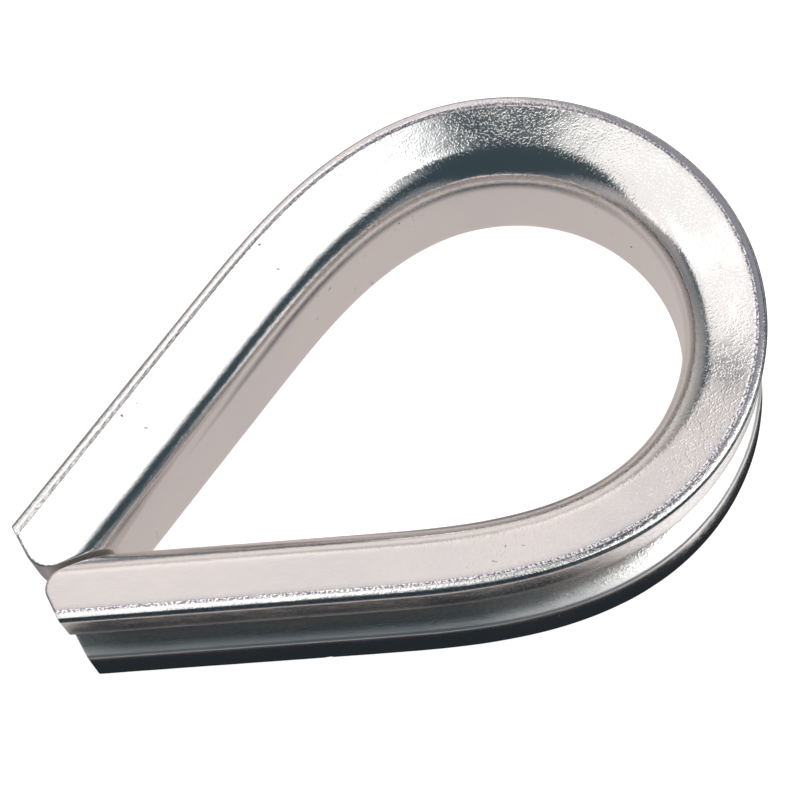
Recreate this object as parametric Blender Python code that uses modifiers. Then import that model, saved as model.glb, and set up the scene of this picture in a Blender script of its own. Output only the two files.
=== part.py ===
"""Wire rope thimble: one thick metal strip, pressed to an outward-facing groove and bent to an eye.

Units are metres. +X runs from the two cut tips to the round crown, +Y across the eye and +Z
through its thickness. The part lies on its lower rims: the origin is the middle of its
bounding box in X and Y, at the height of the surface that it rests on.
"""

import math

import bmesh
import bpy
from mathutils import Vector

MM = 0.001

# Outline of the outer rim, seen along Z: a crown arc, an easing curve and a straight leg.
CROWN_REACH = 11.3 * MM               # apex of the crown from the outline's own datum
CROWN_RADIUS = 1.052 * CROWN_REACH    # radius of the rim round the crown
ARC_LENGTH = 1.485 * CROWN_REACH      # apex to the end of the round part, along the rim
EASE_LENGTH = 1.284 * CROWN_REACH     # stretch along which the bend fades to straight
TIP_REACH = 2.135 * CROWN_REACH       # datum to the plane that both tips are cut at
LEG_OVERRUN = 0.30 * CROWN_REACH      # leg left over beyond the tips before they are cut

# Cross-section: depth is measured inwards from the rim, height from the middle plane.
HALF_WIDTH = 0.350 * CROWN_REACH      # middle plane to the flat crest of a rim
CREST_OUTER = 0.022 * CROWN_REACH     # depth at which the crest begins
CREST_INNER = 0.042 * CROWN_REACH     # depth at which the crest ends and the flange begins
RIM_HALF = 0.333 * CROWN_REACH        # height of the rim's outer corner
MOUTH_HALF = 0.148 * CROWN_REACH      # half the width of the groove's mouth
MOUTH_DEPTH = 0.010 * CROWN_REACH     # depth of the mouth's corner
FLANGE_SLOPE = math.radians(15.0)     # how far each flange leans out from the middle plane
BEND_RADIUS = 0.170 * CROWN_REACH     # outer radius between flange and web, on the eye's side
EYE_DEPTH = 0.332 * CROWN_REACH       # rim to the web's face inside the eye
FLOOR_DEPTH = 0.165 * CROWN_REACH     # rim to the floor of the rope groove
FLOOR_RADIUS = 0.040 * CROWN_REACH    # fillet along each side of the groove's floor
MOUTH_RADIUS = 0.018 * CROWN_REACH    # rounding of the groove's mouth

# Cut tips.
TIP_GAP = 0.045 * CROWN_REACH         # slot between the two legs
TIP_CORNER = 0.090 * CROWN_REACH      # rounding between a tip's end and the slot

TURN_STEP = math.radians(3.2)         # largest turn between two stations of the outline
ARC_STEP = math.radians(18.0)         # largest turn between two points of a section arc
STATION_PIECES = 16                   # straight pieces that each stretch is summed over
WELD_DISTANCE = 0.001 * MM            # points closer than this are made one
SHARP_ANGLE = math.radians(25.0)      # edges that turn more than this are shaded sharp

CENTRE_X = (CROWN_REACH - TIP_REACH) / 2
PART_COLLECTION = "thimble_eye"
CUTTER_COLLECTION = "cutters"


def clear_scene():
    """Remove every object, so that the script can be run again in the same file."""
    for old in list(bpy.data.objects):
        bpy.data.objects.remove(old, do_unlink=True)


def new_collection(name):
    collection = bpy.data.collections.new(name)
    bpy.context.scene.collection.children.link(collection)
    return collection


def heading(distance):
    """Angle that the rim has turned through at a distance from the apex of the crown."""
    curvature = 1 / CROWN_RADIUS
    if distance < ARC_LENGTH:
        return curvature * distance
    faded = min(distance - ARC_LENGTH, EASE_LENGTH)
    return curvature * (ARC_LENGTH + faded - faded * faded / (2 * EASE_LENGTH))


def stations():
    """Distances along the rim from the apex of the crown, close together where it bends."""
    arc_steps = math.ceil(ARC_LENGTH / CROWN_RADIUS / TURN_STEP)
    marks = [ARC_LENGTH * (i + 0.5) / (arc_steps + 0.5) for i in range(arc_steps + 1)]
    ease_turn = heading(ARC_LENGTH + EASE_LENGTH) - heading(ARC_LENGTH)
    ease_steps = math.ceil(ease_turn / TURN_STEP)
    for i in range(1, ease_steps + 1):
        # the turn still to come falls with the square of the length left, so a square root
        # spaces the stations by equal turns
        marks.append(ARC_LENGTH + EASE_LENGTH * (1 - math.sqrt(1 - i / ease_steps)))
    return marks


def rim_outline():
    """Points of the outer rim from just past the apex, round one side and down its leg."""
    marks = stations()
    place = Vector((CROWN_REACH, 0, 0))
    points = []
    for start, end in zip([0] + marks, marks):
        length = (end - start) / STATION_PIECES
        for i in range(STATION_PIECES):
            angle = heading(start + (i + 0.5) * length)
            place += length * Vector((-math.sin(angle), math.cos(angle), 0))
        points.append(place.copy())
    past_apex = Vector((points[0].x, -points[0].y, 0))
    angle = heading(marks[-1])
    leg = (place.x + TIP_REACH + LEG_OVERRUN) / math.sin(angle)
    leg_end = place + leg * Vector((-math.sin(angle), math.cos(angle), 0))
    return [past_apex] + points + [leg_end]


def arc(centre, radius, start, end):
    """Points of a section arc, both ends included."""
    steps = max(1, math.ceil(abs(end - start) / ARC_STEP))
    turned = [start + (end - start) * i / steps for i in range(steps + 1)]
    return [(centre[0] + radius * math.cos(a), centre[1] + radius * math.sin(a)) for a in turned]


def fillet(before, corner, after, radius):
    """Arc that rounds the corner between two straight stretches of the section."""
    to_before = (Vector(before) - Vector(corner)).normalized()
    to_after = (Vector(after) - Vector(corner)).normalized()
    half = to_before.angle(to_after) / 2
    centre = Vector(corner) + (to_before + to_after).normalized() * radius / math.sin(half)
    first = Vector(corner) + to_before * radius / math.tan(half) - centre
    last = Vector(corner) + to_after * radius / math.tan(half) - centre
    start = math.atan2(first.y, first.x)
    turn = math.remainder(math.atan2(last.y, last.x) - start, 2 * math.pi)
    return arc(centre, radius, start, start + turn)


def half_section():
    """Upper half of the section as (outward, height), from the web round the rim to the floor."""
    slope = math.tan(FLANGE_SLOPE)
    bend_centre = (BEND_RADIUS - EYE_DEPTH, 0)
    bend_top = bend_centre[0] - BEND_RADIUS * math.sin(FLANGE_SLOPE)
    flange_top = HALF_WIDTH - (-CREST_INNER - bend_top) * slope
    bend_centre = (bend_centre[0], flange_top - BEND_RADIUS * math.cos(FLANGE_SLOPE))
    floor = -FLOOR_DEPTH
    floor_corner = (floor, MOUTH_HALF - (FLOOR_DEPTH - MOUTH_DEPTH) * slope)
    mouth_corner = (-MOUTH_DEPTH, MOUTH_HALF)
    rim_corner = (0, RIM_HALF)
    points = arc(bend_centre, BEND_RADIUS, math.pi, math.pi / 2 + FLANGE_SLOPE)
    points += [(-CREST_INNER, HALF_WIDTH), (-CREST_OUTER, HALF_WIDTH), rim_corner]
    points += fillet(rim_corner, mouth_corner, floor_corner, MOUTH_RADIUS)
    points += fillet(mouth_corner, floor_corner, (floor, 0), FLOOR_RADIUS)
    return points


def section():
    """The whole closed section, symmetric about the middle plane."""
    upper = half_section()
    return upper + [(outward, -height) for outward, height in reversed(upper)]


def poly_curve(name, points, cyclic):
    """A flat curve object of straight stretches."""
    curve = bpy.data.curves.new(name, "CURVE")
    curve.dimensions = "2D"
    spline = curve.splines.new("POLY")
    spline.points.add(len(points) - 1)
    for target, point in zip(spline.points, points):
        target.co = (point[0], point[1], 0, 1)
    spline.use_cyclic_u = cyclic
    return bpy.data.objects.new(name, curve)


def to_mesh(source, name, collection):
    """Turn a curve object into a closed mesh object of its own and remove the curve."""
    bpy.context.view_layer.update()
    evaluated = source.evaluated_get(bpy.context.evaluated_depsgraph_get())
    mesh = bpy.data.meshes.new_from_object(evaluated)
    solid = bpy.data.objects.new(name, mesh)
    solid.matrix_world = source.matrix_world.copy()
    collection.objects.link(solid)
    bpy.data.objects.remove(source, do_unlink=True)
    shape = bmesh.new()
    shape.from_mesh(mesh)
    bmesh.ops.remove_doubles(shape, verts=shape.verts, dist=WELD_DISTANCE)
    bmesh.ops.recalc_face_normals(shape, faces=shape.faces)
    shape.to_mesh(mesh)
    shape.free()
    return solid


def swept_half(collection):
    """The section drawn along one half of the rim, past the apex and past the tip."""
    profile = poly_curve("section_guide", section(), cyclic=True)
    rail = poly_curve("rim_guide", rim_outline(), cyclic=False)
    for guide in (profile, rail):
        collection.objects.link(guide)
    rail.data.bevel_mode = "OBJECT"
    rail.data.bevel_object = profile
    rail.data.use_fill_caps = True
    half = to_mesh(rail, "thimble_body", collection)
    bpy.data.objects.remove(profile, do_unlink=True)
    return half


def tip_cutter(collection):
    """Removes the leg past its end plane and past the slot, with a rounded inner corner."""
    far = 2 * TIP_REACH
    slot = TIP_GAP / 2
    corner = (-TIP_REACH, slot)
    rounding = fillet((-TIP_REACH, far), corner, (0, slot), TIP_CORNER)
    outline = [(-TIP_REACH, far)] + rounding + [(-CROWN_REACH, slot), (-CROWN_REACH, -far)]
    outline += [(-far, -far), (-far, far)]
    flat = poly_curve("tip_outline", outline, cyclic=True)
    collection.objects.link(flat)
    flat.data.fill_mode = "BOTH"
    flat.data.extrude = 2 * HALF_WIDTH
    cutter = to_mesh(flat, "tip_cutter", collection)
    cutter.hide_render = True
    cutter.display_type = "WIRE"
    return cutter


def bright_steel():
    """Bright, slightly warm plated steel with a fine satin grain."""
    material = bpy.data.materials.new("bright_steel")
    material.use_nodes = True
    shader = material.node_tree.nodes["Principled BSDF"]
    shader.inputs["Base Color"].default_value = (0.68, 0.65, 0.63, 1)
    shader.inputs["Metallic"].default_value = 1.0
    shader.inputs["Roughness"].default_value = 0.28
    return material


def build():
    clear_scene()
    parts = new_collection(PART_COLLECTION)
    cutters = new_collection(CUTTER_COLLECTION)
    body = swept_half(parts)
    cut = body.modifiers.new("cut_tip", "BOOLEAN")
    cut.operation = "DIFFERENCE"
    cut.object = tip_cutter(cutters)
    mirror = body.modifiers.new("other_side", "MIRROR")
    mirror.use_axis = (False, True, False)
    mirror.use_bisect_axis = (False, True, False)
    mirror.use_mirror_merge = True
    mirror.bisect_threshold = WELD_DISTANCE
    mirror.merge_threshold = WELD_DISTANCE
    body.data.materials.append(bright_steel())
    body.data.shade_smooth()
    body.data.set_sharp_from_angle(angle=SHARP_ANGLE)
    for item in (body, cut.object):
        item.location = (-CENTRE_X, 0, HALF_WIDTH)


build()
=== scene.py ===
"""Looks of the wire rope thimble: a fine mesh of the bent strip in bright plated steel.

Lengths are metres. The strip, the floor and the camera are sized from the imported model's box:
their sizes are multiples of REACH, the crown's reach from the outline's own datum.
"""

import math

import bmesh
import bpy
import numpy as np
from mathutils import Matrix, Vector
from mathutils.geometry import delaunay_2d_cdt


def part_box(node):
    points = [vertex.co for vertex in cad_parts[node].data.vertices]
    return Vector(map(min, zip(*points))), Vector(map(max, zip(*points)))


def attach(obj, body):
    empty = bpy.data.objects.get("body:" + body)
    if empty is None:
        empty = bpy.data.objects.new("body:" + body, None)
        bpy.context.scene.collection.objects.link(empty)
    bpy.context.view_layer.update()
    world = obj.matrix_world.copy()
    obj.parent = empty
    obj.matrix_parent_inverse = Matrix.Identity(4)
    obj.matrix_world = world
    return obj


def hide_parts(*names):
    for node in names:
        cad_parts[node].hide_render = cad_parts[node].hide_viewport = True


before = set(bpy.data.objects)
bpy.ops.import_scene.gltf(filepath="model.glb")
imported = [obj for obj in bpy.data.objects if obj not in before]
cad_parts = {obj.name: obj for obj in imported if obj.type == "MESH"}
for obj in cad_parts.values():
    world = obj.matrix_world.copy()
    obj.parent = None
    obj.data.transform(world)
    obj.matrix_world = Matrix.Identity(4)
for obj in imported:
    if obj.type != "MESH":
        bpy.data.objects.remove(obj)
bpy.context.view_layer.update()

BODY_LOW, BODY_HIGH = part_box("thimble_body")
TIP_REACH_RATIO = 2.135               # tips' reach over the crown's reach
REACH = (BODY_HIGH[0] - BODY_LOW[0]) / (1 + TIP_REACH_RATIO)
CENTRE_X = REACH * (1 - TIP_REACH_RATIO) / 2
MID_HEIGHT = (BODY_LOW[2] + BODY_HIGH[2]) / 2

# Outline of the outer rim, seen along Z: a crown arc, an easing curve and a straight leg
CROWN_RADIUS = 1.052 * REACH
ARC_LENGTH = 1.485 * REACH            # apex to the end of the round part, along the rim
EASE_LENGTH = 1.284 * REACH           # stretch along which the bend fades to straight
TIP_REACH = TIP_REACH_RATIO * REACH   # datum to the plane that both tips are cut at
LEG_ANGLE = (ARC_LENGTH + EASE_LENGTH / 2) / CROWN_RADIUS
RAIL_STEPS = 4000                     # pieces that the outline is summed over

# Cross-section: outward distance from the rim (negative inside), height above the middle plane
HALF_WIDTH = 0.350 * REACH            # height of the crest's inner edge
CREST_INNER = -0.042 * REACH
RIM_HALF = 0.3465 * REACH             # height of the rim's outer corner
MOUTH_HALF = 0.148 * REACH            # half the width of the groove's mouth
MOUTH_OUT = -0.010 * REACH
FLANGE_SLOPE = math.radians(15.0)
BEND_RADIUS = 0.170 * REACH           # between flange and web, on the eye's side
EYE_OUT = -0.332 * REACH              # the web's face inside the eye
GROOVE_OUT = -0.165 * REACH           # the floor of the rope groove
GROOVE_RADIUS = 0.040 * REACH         # rounding at the floor's sides
MOUTH_RADIUS = 0.018 * REACH
RIM_RADIUS = 0.016 * REACH
SECTION_SPACING = 0.020 * REACH       # between points of the section
SEAM_SPACING = 0.003 * REACH          # between its points where the crest is pressed
BEND_STEPS = 22                       # straight pieces of each rounding
FILLET_STEPS = 6
GROOVE_STEPS = 8

# Cut tips
TIP_GAP = 0.020 * REACH
TIP_CORNER = 0.090 * REACH
CUT_EDGE = 0.006 * REACH              # rounding between a tip's cut face and its sides
CUT_EDGE_ANGLES = np.radians((0, 22.5, 45, 67.5, 90))
CUT_SPACING = 0.025 * REACH           # between points of the cut face
WELD_DISTANCE = 1e-9                  # points of the cut face closer than this are one
INSIDE_TRIANGLES = 2                  # what delaunay_2d_cdt gives: triangles inside the outline

# Rows of points along the strip: largest turn between two, and how many each leg has
TURN_STEP = math.radians(0.8)
LEG_ROWS = 90

# Marks that pressing and bending leave in the shape
WAVE_COUNT = 14                       # plane waves that are added up
WAVE_SPREAD = (0.6, 1.7)              # their shortest and longest length, as a ratio
WOBBLE_DEPTH = 0.0010 * REACH
WOBBLE_LENGTH = 0.16 * REACH
WOBBLE_MEAN = 0.5
WOBBLE_SWING = 0.3
WOBBLE_SEED = 3
SEAM_DEPTH = 0.0022 * REACH           # the pressed line along each crest's inner edge
SEAM_REACH = 0.0045 * REACH
SEAM_SPAN = 3 * SEAM_REACH            # its points are close together this far to both sides
SEAM_LENGTH = 0.05 * REACH
SEAM_MEAN = 0.6
SEAM_SWING = 0.4
SEAM_SEED = 5
NICK_REACH = 0.014 * REACH
NICK_DEPTH = 0.004 * REACH
# places of the nicks from the outline's datum, as multiples of REACH
NICKS = ((-1.285, -0.630, 0.148), (-1.271, -0.648, -0.335), (-0.60, 0.78, -0.343))

# Marks that only the material shows; lengths along the rim are counted from the crown's apex
WEAR_AND_HIGHLIGHT_REACH = 0.032 * REACH            # worn band along the groove's mouth, whose lighter colour is also a painted highlight along the mouth's corner
LINE_REACH = 0.010 * REACH            # half the width of the painted dark lines along the crests, which stand in for dark reflections and shade
LINE_FADE = 0.35                      # share of those painted lines that is lost on the leg at +Y
LINE_FADE_START = 1.3 * REACH
LINE_FADE_LENGTH = 1.3 * REACH
SOIL_AND_SHADE_START = 1.3 * REACH              # where dirt and painted shade in the groove begin
SOIL_AND_SHADE_FADE = 1.1 * REACH
SHEARED_ROWS = 3                      # rows of points at each tip that count as sheared


def heading(distance):
    """Angle that the rim has turned through at distances from the apex of the crown."""
    faded = np.clip(distance - ARC_LENGTH, 0, EASE_LENGTH)
    turned = np.minimum(distance, ARC_LENGTH) + faded - faded ** 2 / (2 * EASE_LENGTH)
    return turned / CROWN_RADIUS


def rim_stations(turn_step):
    """Places, outward directions and distances along one half of the rim, apex to leg."""
    distance = np.linspace(0, ARC_LENGTH + EASE_LENGTH, RAIL_STEPS + 1)
    middle = heading((distance[1:] + distance[:-1]) / 2)
    length = distance[1]
    x = REACH - np.r_[0, np.cumsum(np.sin(middle))] * length
    y = np.r_[0, np.cumsum(np.cos(middle))] * length
    turns = np.linspace(0, LEG_ANGLE, math.ceil(LEG_ANGLE / turn_step) + 1)
    at = np.interp(turns, heading(distance), distance)
    places = np.c_[np.interp(at, distance, x), np.interp(at, distance, y)]
    outward = np.c_[np.cos(turns), np.sin(turns)]
    return places, outward, at


def arc(centre, radius, start, end, steps):
    turned = np.linspace(start, end, steps + 1)
    return [(centre[0] + radius * math.cos(a), centre[1] + radius * math.sin(a)) for a in turned]


def fillet(before, corner, after, radius, steps):
    """Arc that rounds the corner between two straight stretches of the section."""
    before, corner, after = (Vector(p) for p in (before, corner, after))
    to_before = (before - corner).normalized()
    to_after = (after - corner).normalized()
    half = to_before.angle(to_after) / 2
    centre = corner + (to_before + to_after).normalized() * radius / math.sin(half)
    first = corner + to_before * radius / math.tan(half) - centre
    last = corner + to_after * radius / math.tan(half) - centre
    start = math.atan2(first.y, first.x)
    turn = math.remainder(math.atan2(last.y, last.x) - start, 2 * math.pi)
    return arc(centre, radius, start, start + turn, steps)


def rows_between(points, spacing):
    """The same outline with extra points, so that no stretch is longer than the spacing."""
    out = [points[0]]
    for a, b in zip(points, points[1:]):
        pieces = max(1, math.ceil(math.dist(a, b) / spacing))
        for i in range(1, pieces + 1):
            out.append((a[0] + (b[0] - a[0]) * i / pieces, a[1] + (b[1] - a[1]) * i / pieces))
    return out


def half_section():
    """Two chains from the middle plane to the rim: the eye's side and the groove's side."""
    slope = math.tan(FLANGE_SLOPE)
    bend_out = EYE_OUT + BEND_RADIUS
    bend_top = bend_out - BEND_RADIUS * math.sin(FLANGE_SLOPE)
    flange_low = HALF_WIDTH - (CREST_INNER - bend_top) * slope
    bend_centre = (bend_out, flange_low - BEND_RADIUS * math.cos(FLANGE_SLOPE))
    crest = (CREST_INNER, HALF_WIDTH)
    rim_corner = (0, RIM_HALF)
    mouth_corner = (MOUTH_OUT, MOUTH_HALF)
    floor_corner = (GROOVE_OUT, MOUTH_HALF - (MOUTH_OUT - GROOVE_OUT) * slope)
    crest_slope = (RIM_HALF - HALF_WIDTH) / -CREST_INNER
    before_crest = (CREST_INNER - SEAM_SPAN, HALF_WIDTH - SEAM_SPAN * slope)
    after_crest = (CREST_INNER + SEAM_SPAN, HALF_WIDTH + SEAM_SPAN * crest_slope)
    eye_side = [(EYE_OUT, 0)]
    eye_side += arc(bend_centre, BEND_RADIUS, math.pi, math.pi / 2 + FLANGE_SLOPE, BEND_STEPS)
    eye_side = rows_between(eye_side + [before_crest], SECTION_SPACING)
    eye_side += rows_between([before_crest, crest, after_crest], SEAM_SPACING)[1:]
    eye_side += fillet(crest, rim_corner, mouth_corner, RIM_RADIUS, FILLET_STEPS)
    groove_side = [(GROOVE_OUT, 0)]
    groove_side += fillet((GROOVE_OUT, 0), floor_corner, mouth_corner, GROOVE_RADIUS, GROOVE_STEPS)
    groove_side += fillet(floor_corner, mouth_corner, rim_corner, MOUTH_RADIUS, FILLET_STEPS)
    groove_side += rows_between([groove_side[-1], eye_side[-1]], SECTION_SPACING)[1:-1]
    return eye_side, rows_between(groove_side, SECTION_SPACING)


def closed_section():
    """The whole section as one loop, as an array of (outward, height)."""
    eye_side, groove_side = half_section()
    eye = [(u, -z) for u, z in reversed(eye_side)] + eye_side[1:]
    groove = groove_side[::-1] + [(u, -z) for u, z in groove_side[1:]]
    return np.array(eye + groove)


def near(loop, u, z, reach):
    """1 at a point of the section and at its mirror image, fading to 0 within a few reaches."""
    distance2 = (loop[:, 0] - u) ** 2 + (abs(loop[:, 1]) - z) ** 2
    return np.exp(-distance2 / reach ** 2)


def section_marks(loop):
    """How much of the worn band with its painted highlight, of the dirt with painted shade and of
    the painted dark reflection lines each point of the section has.
    """
    # worn band at the groove's mouth; its lighter colour is also a painted highlight
    mouth = near(loop, MOUTH_OUT, MOUTH_HALF, WEAR_AND_HIGHLIGHT_REACH)
    # painted dark reflection lines at the crest's inner edge and at the rim's corner
    inner_line = near(loop, CREST_INNER, HALF_WIDTH, LINE_REACH)
    outer_line = near(loop, 0, RIM_HALF, LINE_REACH)
    # inside the groove, darker with depth: dirt with painted shade
    in_groove = abs(loop[:, 1]) < MOUTH_HALF
    in_groove &= loop[:, 0] > GROOVE_OUT - GROOVE_RADIUS
    depth = np.clip((MOUTH_OUT - MOUTH_RADIUS - loop[:, 0]) / MOUTH_RADIUS, 0, 1)
    return mouth, depth * in_groove, np.maximum(inner_line, outer_line)


def leg_length(place, outward, u):
    """Length of a leg's line, at each outward distance u, from the leg's start to its cut."""
    along = np.array([-outward[1], outward[0]])
    start = place[None, :] + u[:, None] * outward[None, :]
    to_end = (-TIP_REACH - start[:, 0]) / along[0]
    to_slot = (TIP_GAP / 2 - start[:, 1]) / along[1]
    plain = np.minimum(to_end, to_slot)
    centre = np.array([-TIP_REACH + TIP_CORNER, TIP_GAP / 2 + TIP_CORNER])
    offset = centre[None, :] - start
    ahead = offset @ along
    aside2 = (offset ** 2).sum(1) - ahead ** 2
    reach = np.sqrt(np.clip(TIP_CORNER ** 2 - aside2, 0, None))
    rounded = ahead + reach
    hit = start + rounded[:, None] * along[None, :]
    in_corner = (aside2 < TIP_CORNER ** 2) & (hit[:, 0] < centre[0]) & (hit[:, 1] < centre[1])
    return np.where(in_corner, rounded, plain)


def section_normals(loop):
    """Unit normals of a closed section, pointing out of the metal."""
    ahead = np.roll(loop, -1, axis=0) - loop
    behind = loop - np.roll(loop, 1, axis=0)
    ahead /= np.linalg.norm(ahead, axis=1)[:, None]
    behind /= np.linalg.norm(behind, axis=1)[:, None]
    tangent = ahead + behind
    tangent /= np.linalg.norm(tangent, axis=1)[:, None]
    turned = np.roll(loop, -1, axis=0)
    area = np.sum(loop[:, 0] * turned[:, 1] - turned[:, 0] * loop[:, 1])
    return math.copysign(1, area) * np.c_[tangent[:, 1], -tangent[:, 0]]


def half_rows(loop, turn_step, leg_rows):
    """Rows of section points, and their distances, from the apex to one rounded cut edge."""
    places, outward, at = rim_stations(turn_step)
    distances = list(at)
    rows = [np.c_[p + loop[:, :1] * o, loop[:, 1]] for p, o in zip(places, outward)]
    place, out = places[-1], outward[-1]
    along = np.array([-out[1], out[0]])

    def leg_row(shape, length):
        return np.c_[place + shape[:, :1] * out + length[:, None] * along, shape[:, 1]]

    length = leg_length(place, out, loop[:, 0]) - CUT_EDGE
    for share in np.linspace(0, 1, leg_rows + 1)[1:-1]:
        rows.append(leg_row(loop, length * share))
        distances.append(at[-1] + length.mean() * share)
    normals = section_normals(loop)
    for angle in CUT_EDGE_ANGLES:
        shrunk = loop - normals * CUT_EDGE * (1 - math.cos(angle))
        length = leg_length(place, out, shrunk[:, 0]) - CUT_EDGE * (1 - math.sin(angle))
        rows.append(leg_row(shrunk, length))
        distances.append(at[-1] + length.mean())

    def on_cut(shape):
        return leg_row(shape, leg_length(place, out, shape[:, 0]))

    return rows, distances, loop - normals * CUT_EDGE, on_cut


def cut_face(rim_loop, on_cut):
    """Inner points and triangles of a tip's cut face; the first points are the rim's own."""
    low, high = rim_loop.min(axis=0), rim_loop.max(axis=0)
    inner = []
    for u in np.arange(low[0] + CUT_SPACING / 2, high[0], CUT_SPACING):
        for z in np.arange(low[1] + CUT_SPACING / 2, high[1], CUT_SPACING):
            clear = np.abs(rim_loop - (u, z)).sum(axis=1).min()
            if clear > CUT_SPACING / 2:
                inner.append((u, z))
    points = [Vector(p) for p in rim_loop] + [Vector(p) for p in inner]
    edges = [(i, (i + 1) % len(rim_loop)) for i in range(len(rim_loop))]
    outline = [list(range(len(rim_loop)))]
    verts, _, faces, origins, _, _ = delaunay_2d_cdt(points, edges, outline, INSIDE_TRIANGLES,
                                                     WELD_DISTANCE)
    used = sorted({v for face in faces for v in face})
    shape = np.array([verts[v][:] for v in used])
    place = dict(zip(used, on_cut(shape)))
    return [[(origins[v][0], place[v]) for v in face] for face in faces]


def waves(points, length, seed):
    """Smooth noise between about -1 and 1, made of plane waves in seeded directions."""
    random = np.random.default_rng(seed)
    directions = random.normal(size=(WAVE_COUNT, points.shape[-1]))
    directions /= np.linalg.norm(directions, axis=1)[:, None]
    lengths = length * random.uniform(*WAVE_SPREAD, WAVE_COUNT)
    phases = random.uniform(0, 2 * math.pi, WAVE_COUNT)
    turned = points @ (directions / lengths[:, None]).T * 2 * math.pi + phases
    return np.cos(turned).sum(axis=-1) / math.sqrt(2 * WAVE_COUNT)


def grid_normals(grid):
    """Normals of a grid of points that is closed across and open along."""
    along = np.gradient(grid, axis=0)
    across = np.roll(grid, -1, axis=1) - np.roll(grid, 1, axis=1)
    normals = np.cross(across, along)
    normals /= np.linalg.norm(normals, axis=2)[..., None]
    return normals


def pressed_marks(grid, distances, seam):
    """Depth that each point is pressed in by: a slow wobble, the pressed line and a few nicks."""
    wobble = WOBBLE_MEAN + WOBBLE_SWING * waves(grid, WOBBLE_LENGTH, WOBBLE_SEED)
    depth = WOBBLE_DEPTH * np.clip(wobble, 0, 1)
    rolled = SEAM_MEAN + SEAM_SWING * waves(distances[:, None], SEAM_LENGTH, SEAM_SEED)
    depth += SEAM_DEPTH * rolled[:, None] * seam[None, :]
    for nick in NICKS:
        distance2 = ((grid - np.array(nick) * REACH) ** 2).sum(axis=2)
        depth += NICK_DEPTH * np.clip(1 - distance2 / NICK_REACH ** 2, 0, None) ** 2
    return depth


def build_strip():
    """Points, faces, strip coordinates and marks of the strip, round the crown from tip to tip."""
    loop = closed_section()
    rows, half_distances, rim_loop, on_cut = half_rows(loop, TURN_STEP, LEG_ROWS)
    n = len(loop)
    other = [row * (1, -1, 1) for row in rows[1:]]
    grid = np.array(other[::-1] + rows)
    half_distances = np.array(half_distances)
    distances = np.r_[-half_distances[:0:-1], half_distances]
    around = np.r_[0, np.cumsum(np.linalg.norm(np.roll(loop, -1, axis=0) - loop, axis=1))]
    wear_and_highlight, soil_and_shade, line = section_marks(loop)
    seam = near(loop, CREST_INNER, HALF_WIDTH, SEAM_REACH)
    grid -= grid_normals(grid) * pressed_marks(grid, distances, seam)[..., None]
    points = list(grid.reshape(-1, 3))
    # groove darkening kept to the legs: dirt with painted shade
    leg_share = np.clip((abs(distances) - SOIL_AND_SHADE_START) / SOIL_AND_SHADE_FADE, 0, 1)[:, None]
    stretch = np.clip(1 - (abs(distances) - ARC_LENGTH) / EASE_LENGTH, 0, 1)
    # the painted dark reflection lines fade along the leg at +Y
    second_leg = np.clip((distances - LINE_FADE_START) / LINE_FADE_LENGTH, 0, 1)[:, None]
    lines = line * (1 - LINE_FADE * second_leg)
    # marks: worn band with painted highlight, dirt with painted shade in the groove, painted dark
    # reflection lines
    marks = [np.tile(wear_and_highlight, len(grid)), (leg_share * soil_and_shade).ravel(), lines.ravel()]
    marks.append(np.repeat(stretch, n))
    faces, places = [], []
    for i in range(len(grid) - 1):
        for j in range(n):
            k = (j + 1) % n
            faces.append((i * n + j, i * n + k, (i + 1) * n + k, (i + 1) * n + j))
            here, there, start, end = distances[i], distances[i + 1], around[j], around[j + 1]
            places += [(here, start), (here, end), (there, end), (there, start)]
    triangles = cut_face(rim_loop, on_cut)
    last = (len(grid) - 1) * n
    for first, flip in ((last, 1), (0, -1)):
        inner = {}
        for triangle in triangles:
            face = []
            for origin, place in triangle:
                if origin < n:
                    face.append(first + origin)
                    continue
                if origin not in inner:
                    inner[origin] = len(points)
                    points.append(place * (1, flip, 1))
                face.append(inner[origin])
            faces.append(face[::flip])
            places += [(points[v][1] + points[v][0], points[v][2]) for v in faces[-1]]
    added = len(points) - len(marks[0])
    marks = [np.r_[mark, np.zeros(added)] for mark in marks]
    sheared = np.zeros(len(points))
    sheared[:SHEARED_ROWS * n] = 1
    sheared[(len(grid) - SHEARED_ROWS) * n:] = 1
    names = ("wear_and_highlight", "soil_and_shade", "line", "stretch", "sheared")
    return np.array(points), faces, places, dict(zip(names, (*marks, sheared)))


def mesh_object(name, points, faces, places, marks):
    """A smooth mesh object with the strip's own coordinates and one number layer per mark."""
    mesh = bpy.data.meshes.new(name)
    mesh.from_pydata([tuple(p) for p in points], [], faces)
    layer = mesh.uv_layers.new(name="strip")
    layer.data.foreach_set("uv", np.array(places, dtype=np.float32).ravel())
    for mark, values in marks.items():
        attribute = mesh.attributes.new(mark, "FLOAT", "POINT")
        attribute.data.foreach_set("value", values.astype(np.float32))
    shape = bmesh.new()
    shape.from_mesh(mesh)
    bmesh.ops.recalc_face_normals(shape, faces=shape.faces)
    shape.to_mesh(mesh)
    shape.free()
    mesh.shade_smooth()
    item = bpy.data.objects.new(name, mesh)
    bpy.context.scene.collection.objects.link(item)
    return item


def build_thimble():
    points, faces, places, marks = build_strip()
    points += (-CENTRE_X, 0, MID_HEIGHT)
    strip = mesh_object("pressed_strip", points, faces, places, marks)
    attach(strip, "root")
    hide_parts("thimble_body")
    return strip


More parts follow.
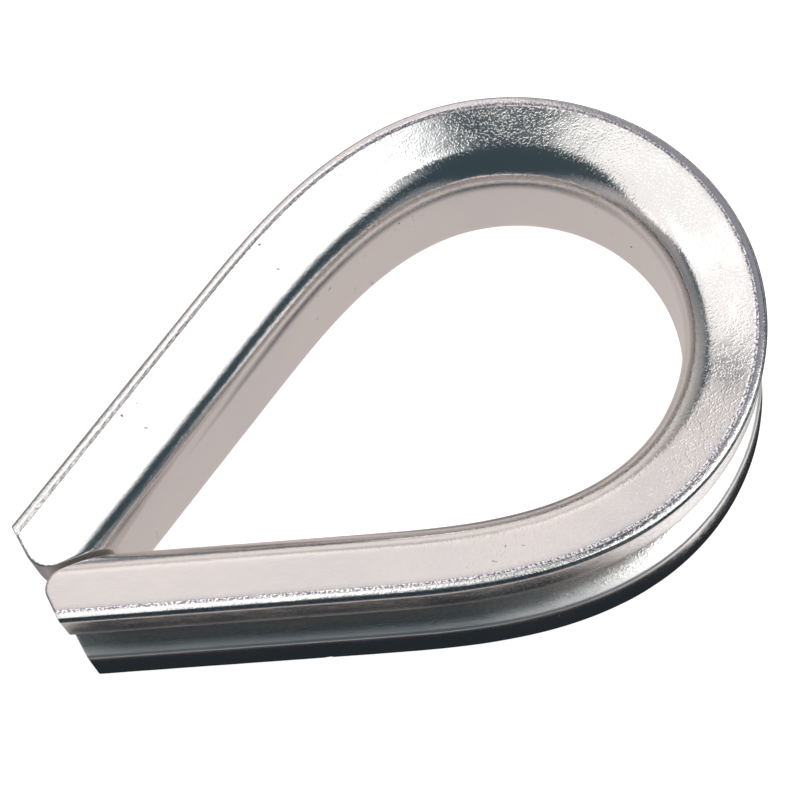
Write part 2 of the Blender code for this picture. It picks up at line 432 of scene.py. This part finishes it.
class Recipe:
    """A material under construction: each step adds one node and wires up its inputs."""

    def __init__(self, name):
        self.material = bpy.data.materials.new(name)
        self.material.use_nodes = True
        self.nodes = self.material.node_tree.nodes
        self.links = self.material.node_tree.links
        self.shader = self.nodes["Principled BSDF"]

    def step(self, kind, output=0, inputs=None, **settings):
        node = self.nodes.new("ShaderNode" + kind)
        for name, value in settings.items():
            setattr(node, name, value)
        for name, value in (inputs or {}).items():
            self.feed(node.inputs[name], value)
        return node.outputs[output]

    def feed(self, socket, value):
        if isinstance(value, bpy.types.NodeSocket):
            self.links.new(value, socket)
        else:
            socket.default_value = value

    def noise(self, vector, scale, detail=2.0, roughness=0.5):
        return self.step("TexNoise", inputs={"Vector": vector, "Scale": scale, "Detail": detail,
                                             "Roughness": roughness})

    def ramp(self, value, low, high, start=0.0, end=1.0):
        """The value's stretch from low to high, eased into the stretch from start to end."""
        return self.step("MapRange", inputs={"Value": value, "From Min": low, "From Max": high,
                                             "To Min": start, "To Max": end},
                         interpolation_type="SMOOTHSTEP")

    def scaled(self, value, factor, added=0.0):
        return self.step("Math", inputs={0: value, 1: factor, 2: added}, operation="MULTIPLY_ADD")

    def blend(self, factor, first, second):
        """Mix of two colours: the node's sockets for those are inputs 6 and 7 and output 2."""
        return self.step("Mix", output=2, inputs={0: factor, 6: first, 7: second},
                         data_type="RGBA")

    def mark(self, name):
        return self.step("Attribute", output="Fac", attribute_name=name)


# Plated steel: scales are noise cells per metre, heights are metres
GRAIN_SCALE = 9500.0
PEEL_SCALE = 1500.0
PATCH_SCALE = 170.0
PIT_SCALE = 4200.0
DRAWN_SCALE = (260.0, 9000.0, 1.0)    # along the strip, round its section
GRAIN_HEIGHT = 1.4e-6
STRETCH_HEIGHT = 1.6e-6               # extra grain where bending has stretched the metal
PEEL_HEIGHT = 6e-6
DRAWN_HEIGHT = 0.5e-6
PIT_HEIGHT = 2.5e-5
# stretches of noise that become marks, each from low to high; for some, what it goes from and to
PATCH_RANGE = (0.35, 0.65)
GRAIN_RANGE = (0.48, 0.72)
PIT_RANGE = (0.78, 0.86)
PITTED_PATCH = (0.58, 0.68)
MOTTLE_PATCH = (0.3, 0.6, 0.6, 1.0)
SOIL_AND_SHADE_GRAIN = (0.3, 0.7, 0.65, 1.0)
GRIME_AND_SHADE_GRAIN = (0.45, 0.62)
LINE_GRAIN = (0.35, 0.6, 0.35, 1.0)
COOL_STEEL = (0.80, 0.785, 0.775, 1)
WARM_STEEL = (0.84, 0.815, 0.79, 1)
# worn metal at the groove's mouth, lightened further as a painted highlight
WORN_AND_HIGHLIGHT_STEEL = (0.95, 0.93, 0.91, 1)
SHEARED_STEEL = (0.86, 0.83, 0.80, 1)
# dark teal in the groove: dirt with painted shade; the pale colour is the dirt's speckles
DARK_GRIME_AND_SHADE = (0.13, 0.19, 0.21, 1)
PALE_GRIME = (0.40, 0.38, 0.36, 1)
# painted dark reflection lines along the crests' edges
DARK_REFLECTION_COLOUR = (0.12, 0.12, 0.15, 1)
PIT_COLOUR = (0.30, 0.28, 0.27, 1)
WORN_AND_HIGHLIGHT_SHARE = 0.9                      # how much of the worn colour with its painted highlight shows where the mark is full
SHEARED_SHARE = 0.8
ROUGHNESS = (0.08, 0.13)              # of the plating, in its smoother and duller patches
DRAWN_ROUGHNESS = 0.06                # what each mark adds where it is full
SOIL_ROUGHNESS = 0.10
SHEARED_ROUGHNESS = 0.35
PIT_ROUGHNESS = 0.25
WORN_ROUGHNESS = 0.25


def bright_steel():
    """Bright plated steel: drawn lines, fine grain in patches, pits, dirt with painted shade in the
    groove, worn edges with a painted highlight and painted dark reflection lines along the crests.
    """
    r = Recipe("bright_plated_steel")
    place = r.step("TexCoord", output="Object")
    along = r.step("Mapping", inputs={"Vector": r.step("UVMap", uv_map="strip"),
                                      "Scale": DRAWN_SCALE})
    drawn = r.noise(along, 1.0, detail=3.0, roughness=0.6)
    grain = r.noise(place, GRAIN_SCALE, detail=1.0)
    peel = r.noise(place, PEEL_SCALE, detail=1.0)
    patch = r.noise(place, PATCH_SCALE, detail=2.0)
    pit = r.ramp(r.noise(place, PIT_SCALE, detail=0.0), *PIT_RANGE)
    pit = r.scaled(pit, r.ramp(patch, *PITTED_PATCH))
    wear_and_highlight, soil_and_shade, line, stretch = (r.mark(n) for n in ("wear_and_highlight", "soil_and_shade", "line", "stretch"))
    sheared = r.mark("sheared")

    tint = r.blend(r.ramp(patch, *PATCH_RANGE), COOL_STEEL, WARM_STEEL)
    # darker groove on the legs: dirt with painted shade, speckled by the grain
    groove_darkening = r.scaled(soil_and_shade, r.ramp(grain, *SOIL_AND_SHADE_GRAIN))
    grime_and_shade = r.blend(r.ramp(grain, *GRIME_AND_SHADE_GRAIN), DARK_GRIME_AND_SHADE, PALE_GRIME)
    colour = r.blend(groove_darkening, tint, grime_and_shade)
    # painted dark reflection lines along the crests' edges, broken up by the grain
    line = r.scaled(line, r.ramp(grain, *LINE_GRAIN))
    colour = r.blend(line, colour, DARK_REFLECTION_COLOUR)
    colour = r.blend(pit, colour, PIT_COLOUR)
    colour = r.blend(r.scaled(sheared, SHEARED_SHARE), colour, SHEARED_STEEL)
    # worn band at the mouth, lightened partly as a painted highlight
    colour = r.blend(r.scaled(wear_and_highlight, WORN_AND_HIGHLIGHT_SHARE), colour, WORN_AND_HIGHLIGHT_STEEL)
    r.feed(r.shader.inputs["Base Color"], colour)
    r.shader.inputs["Metallic"].default_value = 1.0

    rough = r.ramp(patch, *PATCH_RANGE, *ROUGHNESS)
    rough = r.scaled(drawn, DRAWN_ROUGHNESS, rough)
    rough = r.scaled(soil_and_shade, SOIL_ROUGHNESS, rough)
    rough = r.scaled(sheared, SHEARED_ROUGHNESS, rough)
    rough = r.scaled(pit, PIT_ROUGHNESS, rough)
    rough = r.scaled(wear_and_highlight, WORN_ROUGHNESS, rough)
    r.feed(r.shader.inputs["Roughness"], rough)

    height = r.scaled(peel, PEEL_HEIGHT)
    height = r.scaled(drawn, DRAWN_HEIGHT, height)
    mottle = r.scaled(stretch, STRETCH_HEIGHT, GRAIN_HEIGHT)
    mottle = r.scaled(mottle, r.ramp(patch, *MOTTLE_PATCH))
    height = r.scaled(r.ramp(grain, *GRAIN_RANGE), mottle, height)
    height = r.scaled(pit, -PIT_HEIGHT, height)
    normal = r.step("Bump", inputs={"Strength": 1.0, "Distance": 1.0, "Height": height})
    r.feed(r.shader.inputs["Normal"], normal)
    return r.material


# Camera
CAMERA_AZIMUTH = math.radians(-104.06)
CAMERA_ELEVATION = math.radians(65.36)
CAMERA_ROLL = math.radians(-15.40)
CAMERA_DISTANCE = 9.54 * REACH
CAMERA_AIM = Vector((0.049, 0.068, 0.350)) * REACH
CAMERA_LENS = 104.4                   # millimetres
CAMERA_SENSOR = 36                    # millimetres
CAMERA_CLIP = (0.001, 10)             # nearest and farthest distance that it sees

# Floor: a fine grid of points near the part, and one ring of long faces round it
FLOOR_REACH = 60 * REACH              # half its side
FLOOR_FINE = 2.4 * REACH              # half the side of the fine grid
FLOOR_LINES = 241                     # lines of the fine grid, each way
FLOOR_TURN_STEP = math.radians(4.0)   # coarser rows that give the part's outline in plan
FLOOR_LEG_ROWS = 60
OUTLINE_SPACING = 0.02 * REACH        # between the outline's points that distances are taken to
FLOOR_GLOW = 0.9                      # burns the floor out to white for the camera

# What reflections see of the floor; each pair is the distances from the part, in plan, at which
# a mark is full and at which it has faded
FLOOR_COLOUR = (0.60, 0.54, 0.525, 1)
FAR_COLOUR = (0.10, 0.11, 0.12, 1)
CONTACT_COLOUR = (0.02, 0.025, 0.03, 1)
GLARE_COLOUR = (1.15, 1.12, 1.10, 1)
OUTER_CONTACT = (0.17 * REACH, 0.23 * REACH)
OUTER_GLARE = (0.17 * REACH, 0.22 * REACH)
OUTER_BOUNCE = (0.34 * REACH, 0.42 * REACH)
EYE_BOUNCE = (0.27 * REACH, 0.70 * REACH)
LIT_FLOOR = (-0.45 * REACH, 0.30 * REACH)   # X where the key's glare begins and is full
LIT_SHADOW = 0.25                     # width of the contact shadow there, as a ratio


def add_camera():
    level = math.cos(CAMERA_ELEVATION)
    back = Vector((level * math.cos(CAMERA_AZIMUTH), level * math.sin(CAMERA_AZIMUTH),
                   math.sin(CAMERA_ELEVATION)))
    right = Vector((0, 0, 1)).cross(back).normalized()
    up = back.cross(right)
    turned_right = math.cos(CAMERA_ROLL) * right + math.sin(CAMERA_ROLL) * up
    turned_up = back.cross(turned_right)
    pose = Matrix((turned_right, turned_up, back)).transposed().to_4x4()
    pose.translation = CAMERA_AIM + CAMERA_DISTANCE * back
    data = bpy.data.cameras.new("camera")
    data.lens = CAMERA_LENS
    data.sensor_width = CAMERA_SENSOR
    data.clip_start, data.clip_end = CAMERA_CLIP
    camera = bpy.data.objects.new("camera", data)
    camera.matrix_world = pose
    bpy.context.scene.collection.objects.link(camera)
    bpy.context.scene.camera = camera


def least_distance(points, outline):
    """Distance in plan from each point to the nearest point of an outline."""
    steps = np.linalg.norm(np.diff(outline, axis=0), axis=1)
    ends = np.r_[0, np.cumsum(steps)]
    marks = np.linspace(0, ends[-1], int(ends[-1] / OUTLINE_SPACING) + 2)
    outline = np.c_[np.interp(marks, ends, outline[:, 0]), np.interp(marks, ends, outline[:, 1])]
    gaps = [np.hypot(points[:, 0] - x, points[:, 1] - y) for x, y in outline]
    return np.min(gaps, axis=0)


def floor_marks(points):
    """Contact shadow, glare and bounced light at floor points, from their distance off the part."""
    loop = closed_section()
    rows = np.array(half_rows(loop, FLOOR_TURN_STEP, FLOOR_LEG_ROWS)[0])
    mirrored = np.c_[points[:, 0], abs(points[:, 1])]
    outside = least_distance(mirrored, rows[:, np.argmax(loop[:, 0]), :2])
    inside = least_distance(mirrored, rows[:, np.argmin(loop[:, 0]), :2])
    in_eye = inside < outside
    # towards the crown the key lights the floor nearer to the rim
    lit = np.interp(points[:, 0], LIT_FLOOR, (0, 1))
    shadow_width = np.interp(lit, (0, 1), (1, LIT_SHADOW))
    contact = np.where(in_eye, 0, np.interp(outside / shadow_width, OUTER_CONTACT, (1, 0)))
    glare = np.where(in_eye, 0, lit * np.interp(outside, OUTER_GLARE, (1, 0)))
    bounce = np.where(in_eye, np.interp(inside, EYE_BOUNCE, (1, 0)),
                      np.interp(outside, OUTER_BOUNCE, (1, 0)))
    return {"contact": contact, "glare": glare, "bounce": bounce}


def add_floor():
    """Plain pale floor, burnt out to white where the camera looks straight at it."""
    fine = np.linspace(-FLOOR_FINE, FLOOR_FINE, FLOOR_LINES)
    lines = np.r_[-FLOOR_REACH, fine, FLOOR_REACH]
    x, y = (flat.ravel() for flat in np.meshgrid(lines, lines))
    n = len(lines)
    corners = [i * n + j for i in range(n - 1) for j in range(n - 1)]
    faces = [(c, c + 1, c + 1 + n, c + n) for c in corners]
    mesh = bpy.data.meshes.new("floor")
    mesh.from_pydata(np.c_[x, y, 0 * x], [], faces)
    for name, values in floor_marks(np.c_[x + CENTRE_X, y]).items():
        layer = mesh.attributes.new(name, "FLOAT", "POINT")
        layer.data.foreach_set("value", values.astype(np.float32))
    floor = bpy.data.objects.new("floor", mesh)
    bpy.context.scene.collection.objects.link(floor)
    r = Recipe("floor_white")
    r.nodes.remove(r.shader)
    colour = r.blend(r.mark("bounce"), FAR_COLOUR, FLOOR_COLOUR)
    colour = r.blend(r.mark("glare"), colour, GLARE_COLOUR)
    colour = r.blend(r.mark("contact"), colour, CONTACT_COLOUR)
    mirrored = r.step("Emission", inputs={"Color": colour})
    matt = r.step("BsdfDiffuse", inputs={"Color": FLOOR_COLOUR})
    burnt = r.step("Emission", inputs={"Color": (1, 1, 1, 1), "Strength": FLOOR_GLOW})
    lit = r.step("AddShader", inputs={0: matt, 1: burnt})
    seen = r.step("LightPath", output="Is Camera Ray")
    surface = r.step("MixShader", inputs={0: seen, 1: mirrored, 2: lit})
    r.links.new(surface, r.nodes["Material Output"].inputs["Surface"])
    mesh.materials.append(r.material)


class Studio:
    """World made of soft lights round a dark room, each an ellipse of light with a soft edge."""

    def __init__(self, room_colour):
        self.world = bpy.data.worlds.new("studio")
        self.world.use_nodes = True
        self.nodes = self.world.node_tree.nodes
        self.links = self.world.node_tree.links
        self.direction = self.nodes.new("ShaderNodeTexCoord").outputs["Generated"]
        room = self.nodes.new("ShaderNodeCombineXYZ")
        for socket, value in zip(room.inputs, room_colour):
            socket.default_value = value
        self.total = room.outputs[0]

    def light(self, azimuth, tilt, turn, size, softness, colour):
        """A soft light at an azimuth and an angle from straight up, turned about its centre."""
        azimuth, tilt, turn = (math.radians(a) for a in (azimuth, tilt, turn))
        level = Vector((math.cos(azimuth), math.sin(azimuth), 0))
        centre = math.sin(tilt) * level + math.cos(tilt) * Vector((0, 0, 1))
        down = math.cos(tilt) * level - math.sin(tilt) * Vector((0, 0, 1))
        wide = math.cos(turn) * centre.cross(down) + math.sin(turn) * down
        axes = Matrix((wide, centre.cross(wide), centre)).transposed()
        place = self.nodes.new("ShaderNodeMapping")
        place.vector_type = "TEXTURE"
        place.inputs["Location"].default_value = centre
        place.inputs["Rotation"].default_value = axes.to_euler()
        place.inputs["Scale"].default_value = (*size, 1)
        reach = self.nodes.new("ShaderNodeVectorMath")
        reach.operation = "LENGTH"
        edge = self.nodes.new("ShaderNodeMapRange")
        edge.interpolation_type = "SMOOTHSTEP"
        edge.inputs["From Min"].default_value = 1 + softness
        edge.inputs["From Max"].default_value = 1 - softness
        add = self.nodes.new("ShaderNodeVectorMath")
        add.operation = "MULTIPLY_ADD"
        add.inputs[1].default_value = colour
        self.links.new(self.direction, place.inputs["Vector"])
        self.links.new(place.outputs[0], reach.inputs[0])
        self.links.new(reach.outputs["Value"], edge.inputs["Value"])
        self.links.new(edge.outputs["Result"], add.inputs[0])
        self.links.new(self.total, add.inputs[2])
        self.total = add.outputs[0]

    def finish(self):
        """The camera sees plain white; everything else sees the lights."""
        lit = self.nodes["Background"]
        plain = self.nodes.new("ShaderNodeBackground")
        plain.inputs["Color"].default_value = (1, 1, 1, 1)
        path = self.nodes.new("ShaderNodeLightPath")
        mix = self.nodes.new("ShaderNodeMixShader")
        self.links.new(self.total, lit.inputs["Color"])
        self.links.new(path.outputs["Is Camera Ray"], mix.inputs[0])
        self.links.new(lit.outputs[0], mix.inputs[1])
        self.links.new(plain.outputs[0], mix.inputs[2])
        self.links.new(mix.outputs[0], self.nodes["World Output"].inputs["Surface"])
        bpy.context.scene.world = self.world


def add_studio():
    # each light: azimuth, tilt from straight up, turn, half sizes, softness and colour
    studio = Studio(room_colour=(0.045, 0.07, 0.085))
    # overhead boxes: two at the left, one at the back, two for the key and a dim one
    studio.light(153, 37, 63, (0.56, 0.26), 0.10, (1.05, 1.02, 1.00))
    studio.light(127, 44, 37, (0.31, 0.20), 0.12, (1.05, 1.00, 0.98))
    studio.light(80, 39, 98, (0.46, 0.21), 0.12, (0.76, 0.69, 0.68))
    studio.light(341, 24, 71, (0.36, 0.26), 0.12, (1.80, 1.80, 1.80))
    studio.light(319, 40, 0, (0.30, 0.27), 0.65, (1.80, 1.80, 1.80))
    studio.light(47, 38, 0, (0.30, 0.34), 0.15, (0.28, 0.26, 0.30))
    # small lights that the crests of the rims catch
    studio.light(100, 11, 50, (0.15, 0.07), 0.20, (1.20, 1.18, 1.16))
    studio.light(88, 32, 0, (0.16, 0.12), 0.25, (1.20, 1.20, 1.20))
    # dim walls, and a bright strip low down at the key's side
    studio.light(76, 66, 0, (0.90, 0.22), 0.55, (0.34, 0.30, 0.28))
    studio.light(170, 72, 0, (0.45, 0.25), 0.50, (0.30, 0.26, 0.25))
    studio.light(325, 88, 0, (0.30, 0.11), 0.30, (1.60, 1.60, 1.60))
    studio.light(5, 80, 0, (0.45, 0.40), 0.40, (0.30, 0.28, 0.30))
    # soft light at the horizon
    studio.light(75, 90, 10, (0.95, 0.30), 0.60, (0.80, 0.72, 0.68))
    studio.light(200, 95, 45, (0.45, 0.25), 0.80, (0.25, 0.24, 0.24))
    studio.light(280, 90, 60, (0.35, 0.25), 0.40, (0.18, 0.18, 0.19))
    studio.finish()


strip = build_thimble()
strip.data.materials.append(bright_steel())
add_camera()
add_floor()
add_studio()
bpy.context.scene.view_settings.view_transform = "Standard"
